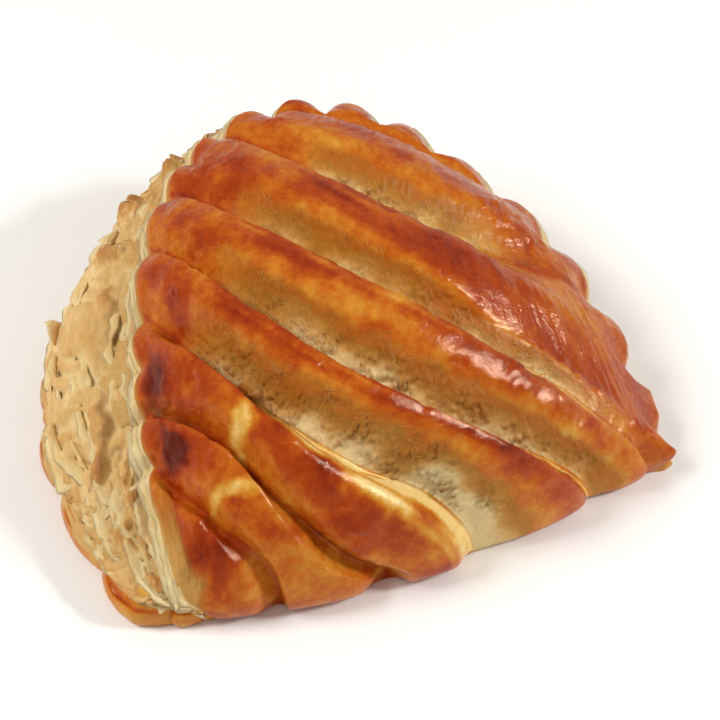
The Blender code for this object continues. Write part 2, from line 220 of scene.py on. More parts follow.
def notched(notches, angle):
    """0 along a lobe's tip, rising to 1 in the notches on its two sides."""
    places = np.array(notches, float)
    places = np.concatenate([places - 360, places, places + 360])
    at = np.mod(np.degrees(angle), 360)
    i = np.searchsorted(places, at, side="right") - 1
    across_lobe = 2 * (at - places[i]) / (places[i + 1] - places[i]) - 1
    return np.abs(across_lobe) ** LOBE_SQUARENESS


def plan_point(across, along):
    """Where a grid point lies in plan: on a bowed line, or on the outline itself at the first and last line."""
    start = np.radians(across_lines(LINE_START, across))
    end = np.radians(across_lines(LINE_END, across))
    chord = rim_point(end) - rim_point(start)
    sideways = np.stack([chord[..., 1], -chord[..., 0]], axis=-1)
    sideways /= np.linalg.norm(sideways, axis=-1, keepdims=True)
    skewed = along ** across_lines(BOW_SKEW, across)
    bow = across_lines(LINE_BOW, across) * np.sin(np.pi * skewed)
    line = rim_point(start) + chord * along[..., None] + sideways * bow[..., None]
    end = np.where(across > BANDS / 2, end + 2 * np.pi, end)
    outline = rim_point(start + (end - start) * along)
    hug = np.maximum(np.clip(1 - across, 0, 1), np.clip(across - BANDS + 1, 0, 1))
    return line + (outline - line) * hug[..., None]


def crown(plan, angle, out):
    """Height of the unscored top: domed to the rim, and rolled over at the fold."""
    rim = round_rim(RIM_HEIGHT, angle)
    rounded = np.linalg.norm((plan - HEART) / CROWN_RADIUS, axis=-1)
    spread = np.clip(rounded + (out - rounded) * np.clip(out, 0, 1) ** 2, 0, 1)
    dome = 1 - spread ** round_rim(CROWN_FULLNESS, angle)
    return rim + (CROWN_HEIGHT - rim) * dome ** round_rim(CROWN_ROLL, angle)


def score_depth(across, along):
    """How far the scores cut below the crown: a steep lip in front, a long slope behind."""
    depth = np.zeros_like(across)
    run_in = ease(0, SCORE_RUN_IN, along)
    deepening = SCORE_START_DEPTH + (1 - SCORE_START_DEPTH) * run_in
    widening = SCORE_START_SPREAD + (1 - SCORE_START_SPREAD) * run_in
    for score in range(1, BANDS):
        fade = 1 - ease(SCORE_FADE[score] - 0.25, SCORE_FADE[score], along)
        here = SCORE_DEPTH[score] * deepening * fade
        width = LIP[score] + (LIP_AT_FOLD - LIP[score]) * ease(0.6, 1, along)
        lip = 1 - ease(0, width, across - score)
        slope = ease(-SCORE_SPREAD[score] * widening, 0, across - score)
        depth += here * np.where(across >= score, lip, slope)
    return depth


def top_point(across, along):
    """A point of the scored, scalloped top, with its rim angle and its distance out."""
    plan = plan_point(across, along)
    angle, out = rim_polar(plan)
    score = score_depth(across, along)
    at_edge = ease(EDGE_START, 1, out)
    notch = round_rim(RIM_NOTCH_DEPTH, angle) * notched(RIM_NOTCHES, angle) * ease(RIM_NOTCH_START, 1, out)
    height = crown(plan, angle, out) - RIM_NOTCH_DIP * notch
    height -= score * (1 - round_rim(FOLD_SHALLOWING, angle) * at_edge)
    height += BAND_SWELL * np.sin(np.pi * np.mod(across, 1) ** BAND_CREST) * (1 - (1 - SWELL_AT_RIM) * at_edge)
    inset = notch + score * round_rim(FOLD_INSET, angle) * at_edge
    from_heart = plan - HEART
    inset /= np.maximum(np.linalg.norm(from_heart, axis=-1), 1)
    plan = HEART + from_heart * (1 - inset)[..., None]
    return np.concatenate([plan, height[..., None]], axis=-1), angle, out


def wall_place(angle, rim, step):
    """Outward distance and height on the open wall: step 0 under the upper leaf, 1 at the foot."""
    reach = round_rim(LEAF_REACH, angle)
    swell = round_rim(WALL_SWELL, angle)
    foot = WALL_FOOT * round_rim(LEAF_THICKNESS, angle)
    thickness = UPPER_LEAF_THICKNESS * np.minimum(1, rim / 22)
    sideways = swell * np.sin(step * np.pi / 2) ** 0.85 + (1 - swell) * step
    upright = swell * np.cos(step * np.pi / 2) + (1 - swell) * (1 - step)
    recess = UPPER_EDGE[-1][0]
    outwards = recess + (reach + LOWER_EDGE[0][0] - recess) * sideways
    return outwards, foot + (rim - thickness - foot) * upright


def blobs(points, size, seed):
    """Smooth noise from -1 to 1, in blobs about size wide."""
    table = np.random.default_rng(seed).uniform(-1, 1, 4096)
    cell = np.asarray(points, float) / size
    low = np.floor(cell).astype(np.int64)
    part = cell - low
    part = part * part * (3 - 2 * part)
    total = np.zeros(len(cell))
    for corner in itertools.product((0, 1), repeat=cell.shape[1]):
        key = (low + corner) @ np.array([73856093, 19349663, 83492791])[: cell.shape[1]]
        weight = np.prod(np.where(corner, part, 1 - part), axis=-1)
        total += weight * table[(key ^ (key >> 13)) % 4096]
    return total


def pores(points, size, seed):
    """Distance from the nearest pore's middle, and from the wall between pores, as shares of size."""
    rng = np.random.default_rng(seed)
    shift = rng.uniform(0.05, 0.95, (4096, 3))
    cell = np.asarray(points, float) / size
    low = np.floor(cell).astype(np.int64)
    near = np.full((2, len(cell)), 9.0)
    for corner in itertools.product((-1, 0, 1), repeat=3):
        place = low + corner
        key = place @ np.array([73856093, 19349663, 83492791])
        middle = place + shift[(key ^ (key >> 13)) % 4096]
        distance = np.linalg.norm(cell - middle, axis=-1)
        near[1] = np.minimum(near[1], np.maximum(near[0], distance))
        near[0] = np.minimum(near[0], distance)
    return near[0], near[1] - near[0]


def openness(score, along):
    """How far a score has torn open at a place along it."""
    places, values = zip(*OPENING[score])
    return np.interp(along, places, values)


def make_mesh(name, points, faces, attributes):
    """A mesh object in metres, with its named masks, smooth shaded and facing out."""
    data = bpy.data.meshes.new(name)
    data.from_pydata(points * MM, [], faces)
    shell = bmesh.new()
    shell.from_mesh(data)
    bmesh.ops.recalc_face_normals(shell, faces=shell.faces)
    shell.to_mesh(data)
    shell.free()
    for key, values in attributes.items():
        values = np.asarray(values, float)
        kind = "FLOAT_VECTOR" if values.ndim == 2 else "FLOAT"
        layer = data.attributes.new(key, kind, "POINT")
        layer.data.foreach_set("vector" if values.ndim == 2 else "value", values.ravel())
    data.shade_smooth()
    piece = bpy.data.objects.new(name, data)
    bpy.context.scene.collection.objects.link(piece)
    return piece


def grid_normals(points, columns, rows):
    """Upward unit normals of a grid of points."""
    grid = points.reshape(columns, rows, 3)
    normal = np.cross(np.gradient(grid, axis=1), np.gradient(grid, axis=0)).reshape(-1, 3)
    return normal / np.maximum(np.linalg.norm(normal, axis=1, keepdims=True), 1e-9)


def patch_amount(patches, across, along):
    """Sum of soft oval patches, each worth its last value at its middle."""
    total = np.zeros_like(across)
    for middle_across, middle_along, half_across, half_along, amount in patches:
        far = np.hypot((across - middle_across) / half_across, (along - middle_along) / half_along)
        total += amount * ease(1.3, 0.35, far)
    return total


def top_masks(across, along, points, degrees, out):
    """How each place of the top looks: how brown, with painted shade along the closed scores, how far torn to the
    crumb, how pale, and the painted highlight along its torn lips' crests.
    """
    band = np.clip(np.floor(across), 0, BANDS - 1).astype(int)
    place = across - band
    torn = np.stack([openness(score, along) for score in range(BANDS + 1)])
    behind_torn = torn[band, np.arange(len(band))]
    before_torn = torn[band + 1, np.arange(len(band))]
    near_torn = behind_torn + (before_torn - behind_torn) * ease(0.35, 0.6, place)
    wander = wobble(points, 6, 3)
    plain = 0.40 + 0.14 * np.sin(np.pi * place)
    bake = plain + (np.interp(place + 0.04 * wander[:, 2], *BAND_TONES) - plain) * near_torn
    bake += 0.09 * blobs(points, 13, 1) + 0.10 * blobs(points, 5, 2) + 0.06 * blobs(points, 2.2, 12)
    frayed = wobble(points, 2.2, 46)
    bake += patch_amount(PATCHES, across + 0.10 * wander[:, 0] + 0.06 * frayed[:, 0],
                         along + 0.02 * wander[:, 1] + 0.012 * frayed[:, 1])
    streaks = blobs(np.stack([across * 30, along * 13], axis=-1), 1, 5)
    drawn_out = patch_amount(STREAKED, across, along)
    bake += (0.22 + 0.30 * drawn_out) * streaks * behind_torn * ease(0.50, 0.20, place)
    width = np.array(CRUMB_WIDTH)[band + 1]
    ragged = 0.10 * blobs(points, 5, 6) + 0.05 * blobs(points, 1.6, 7)
    inside = (place - 1) / width + 1 + ragged
    crumb = before_torn * ease(0.0, 0.30, inside)
    pale = ease(0.30, 1.10, inside + 0.24 * blobs(points, 8, 9) + patch_amount(PALE_PATCHES, across, along))
    # darker along the closed scores: painted shade in their creases
    bake += 0.22 * (1 - before_torn) * ease(0.10, 0.0, 1 - place) + 0.12 * (1 - behind_torn) * ease(0.06, 0.0, place)
    peeled = ease(0.93, 0.965, out) * ease(168, 178, degrees) * ease(204, 196, degrees)
    crumb, pale = np.maximum(crumb, peeled), np.maximum(pale, 0.62 * peeled)
    on_lip = place - np.array(LIP_HIGHLIGHT_FROM)[band] + 0.15 * ragged
    # painted highlight: a thin pale line where each torn lip's glazed crest catches the light
    edge = behind_torn * ease(0.0, 0.02, on_lip) * ease(0.07, 0.03, on_lip)
    return bake, crumb, pale, edge


def top_relief(across, along, points, crumb, pale, edge):
    """Outward relief of the top in mm, and how deep in a pore each place is, which also paints shade into the pores and
    the steam hole.
    """
    cell = points + 0.5 * wobble(points, 2.2, 11)
    hole, web = pores(cell, 1.9, 14)
    fine_hole, fine_web = pores(cell * [1.0, 1.0, 1.6], 1.05, 15)
    some = ease(-0.25, 0.35, blobs(points, 5, 8))
    pit_depth_and_shade = ease(0.46, 0.30, hole) * some + 0.8 * ease(0.46, 0.28, fine_hole) * ease(-0.3, 0.4, blobs(points, 3, 10))
    pit_depth_and_shade *= crumb * (0.5 + 0.5 * pale)
    relief = -1.0 * pit_depth_and_shade + 0.22 * crumb * ease(0.66, 0.50, hole) + crumb * (0.40 * blobs(points, 4.5, 16) + 0.12 * blobs(points, 2, 17))
    relief += crumb * 0.16 * (ease(0.16, 0.02, web) + 0.6 * ease(0.18, 0.03, fine_web))
    crust = 1 - crumb
    relief += crust * (0.32 * blobs(points, 7, 18) + 0.20 * blobs(points, 2.4, 19))
    blister = pores(points + 1.2 * wobble(points, 5, 20), BLISTER_SIZE, 23)[0]
    raised = ease(0.15, 0.6, blobs(points, 9, 24))
    relief += crust * raised * 0.5 * ease(0.42, 0.12, blister)
    crease = np.abs(blobs(points + 1.5 * wobble(points, 4, 25), WRINKLE_SIZE, 28))
    relief -= crust * 0.28 * ease(0.10, 0.0, crease) * ease(-0.2, 0.5, blobs(points, 12, 29))
    crumpled = patch_amount(CRUMPLED, across, along)
    relief += crust * crumpled * (0.45 * blobs(points, 2.2, 30) + 0.25 * blobs(points, 1.1, 34))
    streaks = blobs(np.stack([across * 17, along * 7], axis=-1), 1, 47)
    relief += 0.45 * streaks * patch_amount(STREAKED, across, along) + 0.30 * edge
    hole = np.hypot((across - STEAM_HOLE[0]) / STEAM_HOLE[2], (along - STEAM_HOLE[1]) / STEAM_HOLE[3])
    sunk = ease(1.15, 0.6, hole)
    # the steam hole joins the pore mask at twice its strength, for painted shade inside it
    return relief - STEAM_HOLE[4] * sunk, np.maximum(pit_depth_and_shade, 2.0 * sunk)


def wobble(points, size, seed):
    """Three independent smooth noises, to bend a pattern."""
    return np.stack([blobs(points, size, seed + i) for i in range(3)], axis=-1)


def build_body():
    """The glazed top with plain sides below it: one closed solid."""
    even = np.linspace(0, 1, 400)
    crowd = np.cumsum(np.interp(even, *COLUMN_CROWDING))
    in_band = np.interp(np.arange(TOP_COLUMNS) / TOP_COLUMNS, (crowd - crowd[0]) / (crowd[-1] - crowd[0]), even)
    across = np.concatenate([(np.arange(BANDS)[:, None] + in_band).ravel(), [BANDS]])
    along = np.linspace(0, 1, TOP_ROWS)
    columns, rows = len(across), len(along)
    across, along = (a.ravel() for a in np.meshgrid(across, along, indexing="ij"))
    points, angle, out = top_point(across, along)
    bake, crumb, pale, edge = top_masks(across, along, points, np.mod(np.degrees(angle), 360), out)
    relief, pit_depth_and_shade = top_relief(across, along, points, crumb, pale, edge)
    pit_depth_and_shade *= ease(0.95, 0.92, out)
    points = points + grid_normals(points, columns, rows) * (relief * ease(1.0, 0.95, out))[:, None]
    index = np.arange(columns * rows).reshape(columns, rows)
    faces = np.stack([index[:-1, :-1], index[1:, :-1], index[1:, 1:], index[:-1, 1:]], -1).reshape(-1, 4)
    border = np.concatenate([index[:-1, 0], index[-1, :-1], index[:0:-1, -1], index[0, :0:-1]])
    rings = side_rings(across[border], along[border], points[border])
    mouth, falls = round_rim(MOUTH, angle[border]), (np.arange(len(rings)) + 1) / len(rings)
    rings[-1][:, 2] += BASE_HOLLOW * mouth
    rings.append(rings[-1] + (np.array([*HEART, BASE_HOLLOW]) - rings[-1]) * [BASE_BORDER, BASE_BORDER, 1])
    count = len(border)
    ring_index = np.concatenate([border[None], len(points) + np.arange(len(rings) * count).reshape(-1, count)])
    upper, lower = ring_index[:-1], ring_index[1:]
    sides = np.stack([upper, np.roll(upper, -1, 1), np.roll(lower, -1, 1), lower], -1).reshape(-1, 4)
    middle = len(points) + len(rings) * count
    base = [(a, b, middle) for a, b in zip(ring_index[-1], np.roll(ring_index[-1], -1))]
    all_points = np.concatenate([points] + rings + [[[HEART[0], HEART[1], BASE_HOLLOW]]])
    extra = len(all_points) - len(points)
    under = np.zeros(count + 1)
    attributes = {
        "bake": np.concatenate([bake, side_bake(angle[border], bake[border], len(falls)), under + 0.5]),
        "crumb": np.concatenate([crumb] + [np.maximum(mouth, crumb[border] * (1 - fall**3)) for fall in falls] + [under]),
        "pale": np.concatenate([pale] + [mouth * 0.8 + (1 - mouth) * pale[border] for _ in falls] + [under]),
        "pit_depth_and_shade": np.concatenate([pit_depth_and_shade, np.zeros(extra)]),
        "edge": np.concatenate([edge, np.zeros(extra)]),
        "webbed": np.concatenate([crumb * ease(0.93, 0.90, out) * ease(-0.1, 0.5, blobs(points, 7, 13)), np.zeros(extra)]),
    }
    return make_mesh("turnover_crust", all_points, faces.tolist() + sides.tolist() + base, attributes)


def side_bake(angle, border_bake, count):
    """How brown the plain sides are: pale in the open mouth, browned round the fold and under the leaf."""
    mouth = round_rim(MOUTH, angle)
    values = []
    for i in range(count):
        open_bake = np.interp(i, [0, 1, 3, count - 6, count - 4, count - 1], [0.42, 0.24, 0.14, 0.14, 0.45, 0.6])
        closed_bake = border_bake + (0.62 - border_bake) * i / count
        values.append(mouth * open_bake + (1 - mouth) * closed_bake)
    return np.concatenate(values)


def side_rings(across, along, border):
    """The plain side below the top's border, ring by ring down to the table."""
    angle = rim_polar(plan_point(across, along))[0]
    smooth_rim = rim_point(angle)
    smooth_height = round_rim(RIM_HEIGHT, angle)
    mouth = round_rim(MOUTH, angle)
    reach = round_rim(LEAF_REACH, angle)
    leaf = round_rim(LEAF_THICKNESS, angle)
    leaf_inset = LEAF_NOTCH_DEPTH * notched(LEAF_NOTCHES, angle)
    steps = np.linspace(0, 1, WALL_RINGS + 1)[1:]
    count = len(UPPER_EDGE) + len(steps) + len(LOWER_EDGE)
    rings = []
    for i in range(count):
        lower = ease(len(UPPER_EDGE) - 1, len(UPPER_EDGE) + 2, i) * mouth
        rim = border[:, 2] + (smooth_height - border[:, 2]) * lower
        if i < len(UPPER_EDGE):
            thickness = UPPER_LEAF_THICKNESS * np.minimum(1, rim / 22)
            outwards, height = UPPER_EDGE[i][0], rim - UPPER_EDGE[i][1] * thickness
        elif i < len(UPPER_EDGE) + len(steps):
            step = steps[i - len(UPPER_EDGE)]
            outwards, height = wall_place(angle, rim, step)
            outwards = outwards - WALL_RECESS * np.sin(np.pi * step) ** 0.5
        else:
            outwards, height = LOWER_EDGE[i - count][0] + reach, LOWER_EDGE[i - count][1] * leaf
        outwards = outwards - leaf_inset * ease(len(UPPER_EDGE) + 1, count - len(LOWER_EDGE) - 1, i)
        down = (i + 1) / count
        outwards = mouth * outwards - (1 - mouth) * FOLD_UNDERCUT * (1 - np.cos(down * np.pi / 2))
        height = mouth * height + (1 - mouth) * rim * (1 - np.sin(down * np.pi / 2))
        evened = np.maximum(lower, (1 - mouth) * ease(0.3, 1, down))
        plan = border[:, :2] + (smooth_rim - border[:, :2]) * evened[:, None]
        plan = plan + outward(angle) * outwards[:, None]
        rings.append(np.concatenate([plan, height[:, None]], axis=-1))
    return rings


WALL_ANGLES = (14.0, 204.0)
WALL_COLUMNS = 620
WALL_ROWS = 84
LAYER_PITCH = 2.3
MEMBRANE = (150.0, 11.5, 0.45, 0.40)  # middle and half width in degrees, then in steps down the wall
HOLLOWS = [  # rim angle, step, half sizes along the rim and down in mm, depth in mm
    (159.5, 0.30, 6.5, 3.0, 2.6), (163.5, 0.44, 4.0, 2.6, 2.2), (144.0, 0.20, 4.2, 3.2, 2.8),
    (168.0, 0.26, 4.5, 2.0, 2.0), (136.0, 0.30, 3.0, 4.0, 2.2), (172.0, 0.50, 3.4, 2.4, 1.8),
    (126.0, 0.35, 4.5, 3.4, 2.4), (115.0, 0.30, 5.0, 3.0, 2.4), (103.0, 0.42, 6.0, 3.0, 2.6),
    (90.0, 0.35, 5.0, 3.4, 2.4), (77.0, 0.45, 6.5, 3.0, 2.6), (63.0, 0.35, 5.0, 2.4, 2.0),
    (50.0, 0.45, 5.0, 2.2, 1.8), (109.0, 0.66, 5.0, 2.4, 1.8), (84.0, 0.64, 6.0, 2.4, 1.8),
    (179.0, 0.40, 3.0, 1.8, 1.4), (186.0, 0.55, 2.6, 1.2, 1.0),
]


def wall_grid(columns, rows):
    """Places on the open wall, with their runs in mm along the rim and down the wall."""
    angle = np.radians(np.linspace(*WALL_ANGLES, columns))
    step = np.linspace(-0.06, 1.04, rows)
    angle, step = (a.ravel() for a in np.meshgrid(angle, step, indexing="ij"))
    points = wall_point(angle, step)
    grid = points.reshape(columns, rows, 3)
    run = np.linalg.norm(np.diff(grid, axis=0), axis=2).mean(axis=1)
    run = np.repeat(np.concatenate([[0], np.cumsum(run)]), rows)
    fall = np.linalg.norm(np.diff(grid, axis=1), axis=2)
    fall = np.concatenate([np.zeros((columns, 1)), np.cumsum(fall, axis=1)], axis=1).ravel()
    return angle, step, points, run, fall


def wall_point(angle, step):
    """A point of the smooth wall between the leaves."""
    rim = round_rim(RIM_HEIGHT, angle)
    outwards, height = wall_place(angle, rim, np.clip(step, 0, 1))
    outwards = outwards - 2.0 * ease(0, -0.06, step) - 2.0 * ease(1, 1.04, step)
    plan = rim_point(angle) + outward(angle) * outwards[:, None]
    return np.concatenate([plan, height[:, None]], axis=-1)


def membrane_mask(angle, step):
    """1 on the big smooth bubble of dough on the left, 0 away from it."""
    middle, width, down, depth = MEMBRANE
    far = np.hypot((np.degrees(angle) - middle) / width, (step - down) / depth)
    return ease(1.25, 0.75, far)


def wall_relief(angle, step, run, fall):
    """Layers, hollows and the bubble, outwards in mm, with how deep in a gap each place is: painted shade in gaps and
    hollows, lighter on ruffles, sheets and the bubble's folds.
    """
    flat = np.stack([run, fall], -1)
    warp = 2.2 * blobs(flat, 15, 41) + 1.0 * blobs(flat, 5, 42) + 0.4 * blobs(flat, 2, 43)
    layer = (fall + warp) / LAYER_PITCH
    part = layer - np.floor(layer)
    strength = 0.5 + 0.5 * blobs(np.stack([run, np.floor(layer) * 40], -1), 9, 44)
    sheet = ease(0, 0.2, part) * (1 - part) ** 1.3 * ease(0.15, 0.6, strength)
    bubble = membrane_mask(angle + 0.04 * blobs(flat, 7, 45), step + 0.10 * blobs(flat, 6, 46))
    bent = flat + 2.2 * np.stack([blobs(flat, 8, 47), blobs(flat, 8, 48)], -1)
    aslant = np.stack([bent[:, 0] + 0.8 * bent[:, 1], 0.55 * (bent[:, 1] - 0.8 * bent[:, 0])], -1)
    fold = ease(0.42, 0.0, np.abs(blobs(aslant, 6.5, 49)))
    fine_fold = ease(0.34, 0.0, np.abs(blobs(aslant, 2.9, 50))) * ease(-0.2, 0.4, blobs(flat, 5, 51))
    skin = 0.6 + 1.3 * fold + 0.55 * fine_fold + 1.1 * blobs(flat, 9, 53)
    ruffle = 0.9 * ease(0.36, 0.0, np.abs(blobs(bent, 3.6, 52))) + 0.6 * blobs(bent, 2.6, 57)
    hollow = np.zeros_like(run)
    grain = 0.30 * blobs(flat, 3.5, 54) + 0.15 * blobs(flat, 1.4, 55)
    for middle, down, half_run, half_fall, depth in HOLLOWS:
        nearest = np.argmin((np.degrees(angle) - middle) ** 2 + (40 * (step - down)) ** 2)
        far = np.hypot((run - run[nearest]) / half_run, (fall - fall[nearest]) / half_fall)
        hollow = np.maximum(hollow, depth * ease(1.25, 0.30, far + grain))
    relief = (1 - bubble) * (1.5 * strength * sheet + ruffle) + bubble * skin - hollow + 0.2 * blobs(flat, 1.3, 56)
    # painted shade and highlight: darker in gaps and hollows, lighter where ruffles, sheets and the bubble's folds
    # stand out
    gap = np.clip((1 - bubble) * (0.45 - 0.3 * ruffle - 0.2 * sheet) + 0.24 * hollow, 0, 1)
    gap = np.maximum(gap, bubble * 0.42 * (1 - fold) * (1 - 0.6 * fine_fold))
    return relief, gap, sheet * (1 - bubble)


def build_wall():
    """The open side between the two leaves of the sheet: pale stacked layers, pockets and one big bubble."""
    angle, step, points, run, fall = wall_grid(WALL_COLUMNS, WALL_ROWS)
    relief, gap, sheet = wall_relief(angle, step, run, fall)
    fading = ease(WALL_ANGLES[0], WALL_ANGLES[0] + 8, np.degrees(angle)) * ease(
        WALL_ANGLES[1], WALL_ANGLES[1] - 8, np.degrees(angle))
    normal = -grid_normals(points, WALL_COLUMNS, WALL_ROWS)
    points = points + normal * ((relief + 0.4) * fading)[:, None]
    index = np.arange(len(points)).reshape(WALL_COLUMNS, WALL_ROWS)
    front = np.stack([index[:-1, :-1], index[1:, :-1], index[1:, 1:], index[:-1, 1:]], -1).reshape(-1, 4)
    back = np.stack([index[:-1, 0], index[:-1, -1], index[1:, -1], index[1:, 0]], -1)
    faces = front.tolist() + back.tolist() + [index[0].tolist(), index[-1, ::-1].tolist()]
    attributes = {
        "lay": np.stack([run, fall, relief], -1) * MM,
        "bake": 0.10 + 0.10 * blobs(points, 9, 27) + 0.16 * ease(0.75, 1.0, step),
        "gap": gap,
        "sheet": sheet,
        "flaking": fading * (1 - membrane_mask(angle, step)) * ease(0.02, 0.2, step) * ease(0.98, 0.8, step),
    }
    return make_mesh("open_layers", points, faces, attributes)


RIM_COLUMNS = 900
RIM_ANGLES = (-14.0, 203.0)
RIM_SECTION = [(-9.0, 0.2), (-8.5, 1.15), (-6.5, 1.30), (-4.6, 1.22), (-3.2, 1.05), (-1.9, 1.02), (-0.7, 0.85),
               (0.0, 0.55), (-0.2, 0.28), (-1.2, 0.06), (-2.8, 0.0), (-8.0, 0.0)]  # outwards in mm, up as a share
SHEET_STEPS = 5  # grid lines from a sheet's root to its free edge
LEAF_COLUMNS = 560
LEAF_ANGLES = (16.0, 201.0)
EDGE_SHEETS = [(1.1, 0.9), (1.9, 1.9), (2.8, 2.4), (3.7, 2.2), (4.6, 1.7), (5.5, 0.8)]  # below the glaze, beyond it
EDGE_WIDTH = {0: 0.8, 90: 0.9, 135: 1.0, 152: 0.9, 160: 1.3, 166: 1.7, 172: 1.2, 186: 1.3, 204: 1.0}
WALL_SHEETS = [0.09, 0.21, 0.38, 0.50, 0.71, 0.88]  # steps down the wall
PETALS = [  # rim angle, step, half width in mm, then how far the tip goes along the rim, down the wall and off it
    (144.5, 0.64, 2.6, -1.5, -0.5, 2.6), (161.8, 0.54, 2.4, -3.6, -0.5, 1.4), (149.5, 0.60, 2.0, 0.8, 1.6, 1.2),
    (133.0, 0.30, 2.4, 0.8, 2.0, 1.4), (107.0, 0.50, 2.6, 1.5, 2.0, 1.6), (82.0, 0.50, 2.6, 1.0, 2.2, 1.6),
    (158.0, 0.70, 2.6, -1.5, 1.5, 1.2),
]


def border_at(angle):
    """The top's scalloped border at a rim angle."""
    steps = np.linspace(0, 1, 1200)
    none, all_bands = 0 * steps, 0 * steps + BANDS
    across = np.concatenate([none, steps * BANDS, all_bands, steps * BANDS])
    along = np.concatenate([steps, none, steps, none + 1])
    points, around, _ = top_point(across, along)
    around = np.mod(around + np.pi / 3, 2 * np.pi) - np.pi / 3
    order = np.argsort(around)
    return np.stack([np.interp(angle, around[order], points[order, axis]) for axis in range(3)], axis=-1)


def thin_sheets(name, sheets):
    """Closed thin sheets, each from its root's row of points to its free edge's, with a thickness."""
    share = np.linspace(0, 1, SHEET_STEPS)
    half = 0.5 * np.minimum(1, share / 0.3) * (1 - share**4)
    around = np.concatenate([share, share[-2:0:-1]])
    side = np.concatenate([half, -half[-2:0:-1]])
    points, faces, gap, lay = [], [], [], []
    first = 0
    for number, (root, free, thickness) in enumerate(sheets):
        columns, rows = len(root), len(around)
        shell = root[:, None] + (free - root)[:, None] * around[None, :, None]
        shell[..., 2] += thickness * side
        index = first + np.arange(columns * rows).reshape(columns, rows)
        turned = np.roll(index, -1, 1)
        faces += np.stack([index[:-1], index[1:], turned[1:], turned[:-1]], -1).reshape(-1, 4).tolist()
        faces += [index[0].tolist(), index[-1, ::-1].tolist()]
        points.append(shell.reshape(-1, 3))
        # painted shade towards each sheet's root, fading to none at its free edge
        gap.append(np.tile(0.5 * (1 - around) ** 1.5, columns))
        run = np.cumsum(np.linalg.norm(np.diff(free, axis=0, prepend=free[:1]), axis=1))
        lay.append(np.stack([np.repeat(run, rows), np.tile(4 * around, columns), np.full(columns * rows, 7.0 * number)], -1))
        first += columns * rows
    points, gap, lay = np.concatenate(points), np.concatenate(gap), np.concatenate(lay)
    bake = 0.06 + 0.10 * blobs(points, 6, 61)
    return make_mesh(name, points, faces, {"lay": lay * MM, "bake": bake, "gap": gap, "sheet": np.ones(len(points))})


def ragged(run, size, seed):
    """A torn edge's in and out, from -1 to 1, along a run in mm."""
    along = np.stack([run, 0 * run], axis=-1)
    return 0.6 * blobs(along, size, seed) + 0.4 * blobs(along, 0.3 * size, seed + 1)


def build_leaf_edge():
    """The upper leaf's own layers, stacked pale under its glazed rim."""
    angle = np.radians(np.linspace(*LEAF_ANGLES, LEAF_COLUMNS))
    border, smooth = border_at(angle), rim_point(angle)
    run = np.cumsum(np.linalg.norm(np.diff(smooth, axis=0, prepend=smooth[:1]), axis=1))
    out = np.concatenate([outward(angle), np.zeros((LEAF_COLUMNS, 1))], axis=1)
    ends = ease(LEAF_ANGLES[0], LEAF_ANGLES[0] + 10, np.degrees(angle)) * ease(
        LEAF_ANGLES[1], LEAF_ANGLES[1] - 10, np.degrees(angle))
    scale = np.minimum(1, border[:, 2] / 22)
    width = round_rim(EDGE_WIDTH, angle)
    sheets = []
    for number, (down, beyond) in enumerate(EDGE_SHEETS):
        place = border.copy()
        place[:, :2] += (smooth - border[:, :2]) * 0.16 * number
        place[:, 2] -= down * scale
        reach = (beyond * width + 0.7 * ragged(run, 5, 70 + number)) * ends - 2.5 * (1 - ends)
        free = place + out * reach[:, None]
        free[:, 2] += (0.45 * ragged(run, 7, 80 + number) - 0.3) * scale
        sheets.append((place - out * 3.5, free, 0.6))
    return thin_sheets("leaf_edge", sheets)


def wall_place_and_axes(angle, step):
    """A point of the wall with its unit directions along the rim, down the wall and off it."""
    here = wall_point(angle, step)
    along = wall_point(angle + 0.01, step) - here
    down = wall_point(angle, step + 0.02) - here
    along /= np.linalg.norm(along, axis=-1, keepdims=True)
    down /= np.linalg.norm(down, axis=-1, keepdims=True)
    off = np.cross(down, along)
    return here, along, down, off / np.linalg.norm(off, axis=-1, keepdims=True)


def build_wall_sheets():
    """Torn leaves of dough that lie over each other on the open side, and small pointed flaps."""
    angle = np.radians(np.linspace(LEAF_ANGLES[0] + 6, LEAF_ANGLES[1] - 2, LEAF_COLUMNS))
    smooth = rim_point(angle)
    run = np.cumsum(np.linalg.norm(np.diff(smooth, axis=0, prepend=smooth[:1]), axis=1))
    degrees = np.degrees(angle)
    sheets = []
    for number, step in enumerate(WALL_SHEETS):
        wander = 0.06 * ragged(run, 26, 90 + number) + 0.02 * ragged(run, 7, 95 + number)
        here, _, down, off = wall_place_and_axes(angle, step + wander)
        bubble = membrane_mask(angle, step + wander)
        present = ease(-0.15, 0.35, blobs(np.stack([run, 0 * run], -1), 8, 100 + number))
        fan = ease(163, 168, degrees) * ease(199, 193, degrees)
        present = np.maximum(present, fan * (0.6 + 0.4 * ragged(run, 8, 130 + number))) * (1 - bubble)
        present *= ease(LEAF_ANGLES[1] - 2, LEAF_ANGLES[1] - 9, degrees)
        rise = -1.8 + (2.7 + 0.9 * ragged(run, 5, 110 + number)) * present
        slip = 0.6 + 1.1 * present + 0.8 * ragged(run, 3, 120 + number)
        free = here + off * rise[:, None] + down * slip[:, None]
        sheets.append((here - off * 1.8 - down * 2.2, free, 0.5))
    for middle, step, half_width, along_tip, down_tip, off_tip in PETALS:
        spread = np.linspace(-1, 1, 17)
        turn = half_width / np.hypot(*(rim_point(np.radians(middle) + 0.5) - rim_point(np.radians(middle) - 0.5)))
        here, along, down, off = wall_place_and_axes(np.radians(middle) + spread * turn, np.full(17, step))
        pointed = ((1 - np.abs(spread)) ** 0.7 * (1 + 0.3 * ragged(3 * spread, 1.5, int(middle))))[:, None]
        tip = along * along_tip + down * down_tip + off * off_tip
        sheets.append((here - off * 0.6, here + off * 0.4 + tip * pointed, 0.5))
    return thin_sheets("torn_leaves", sheets)


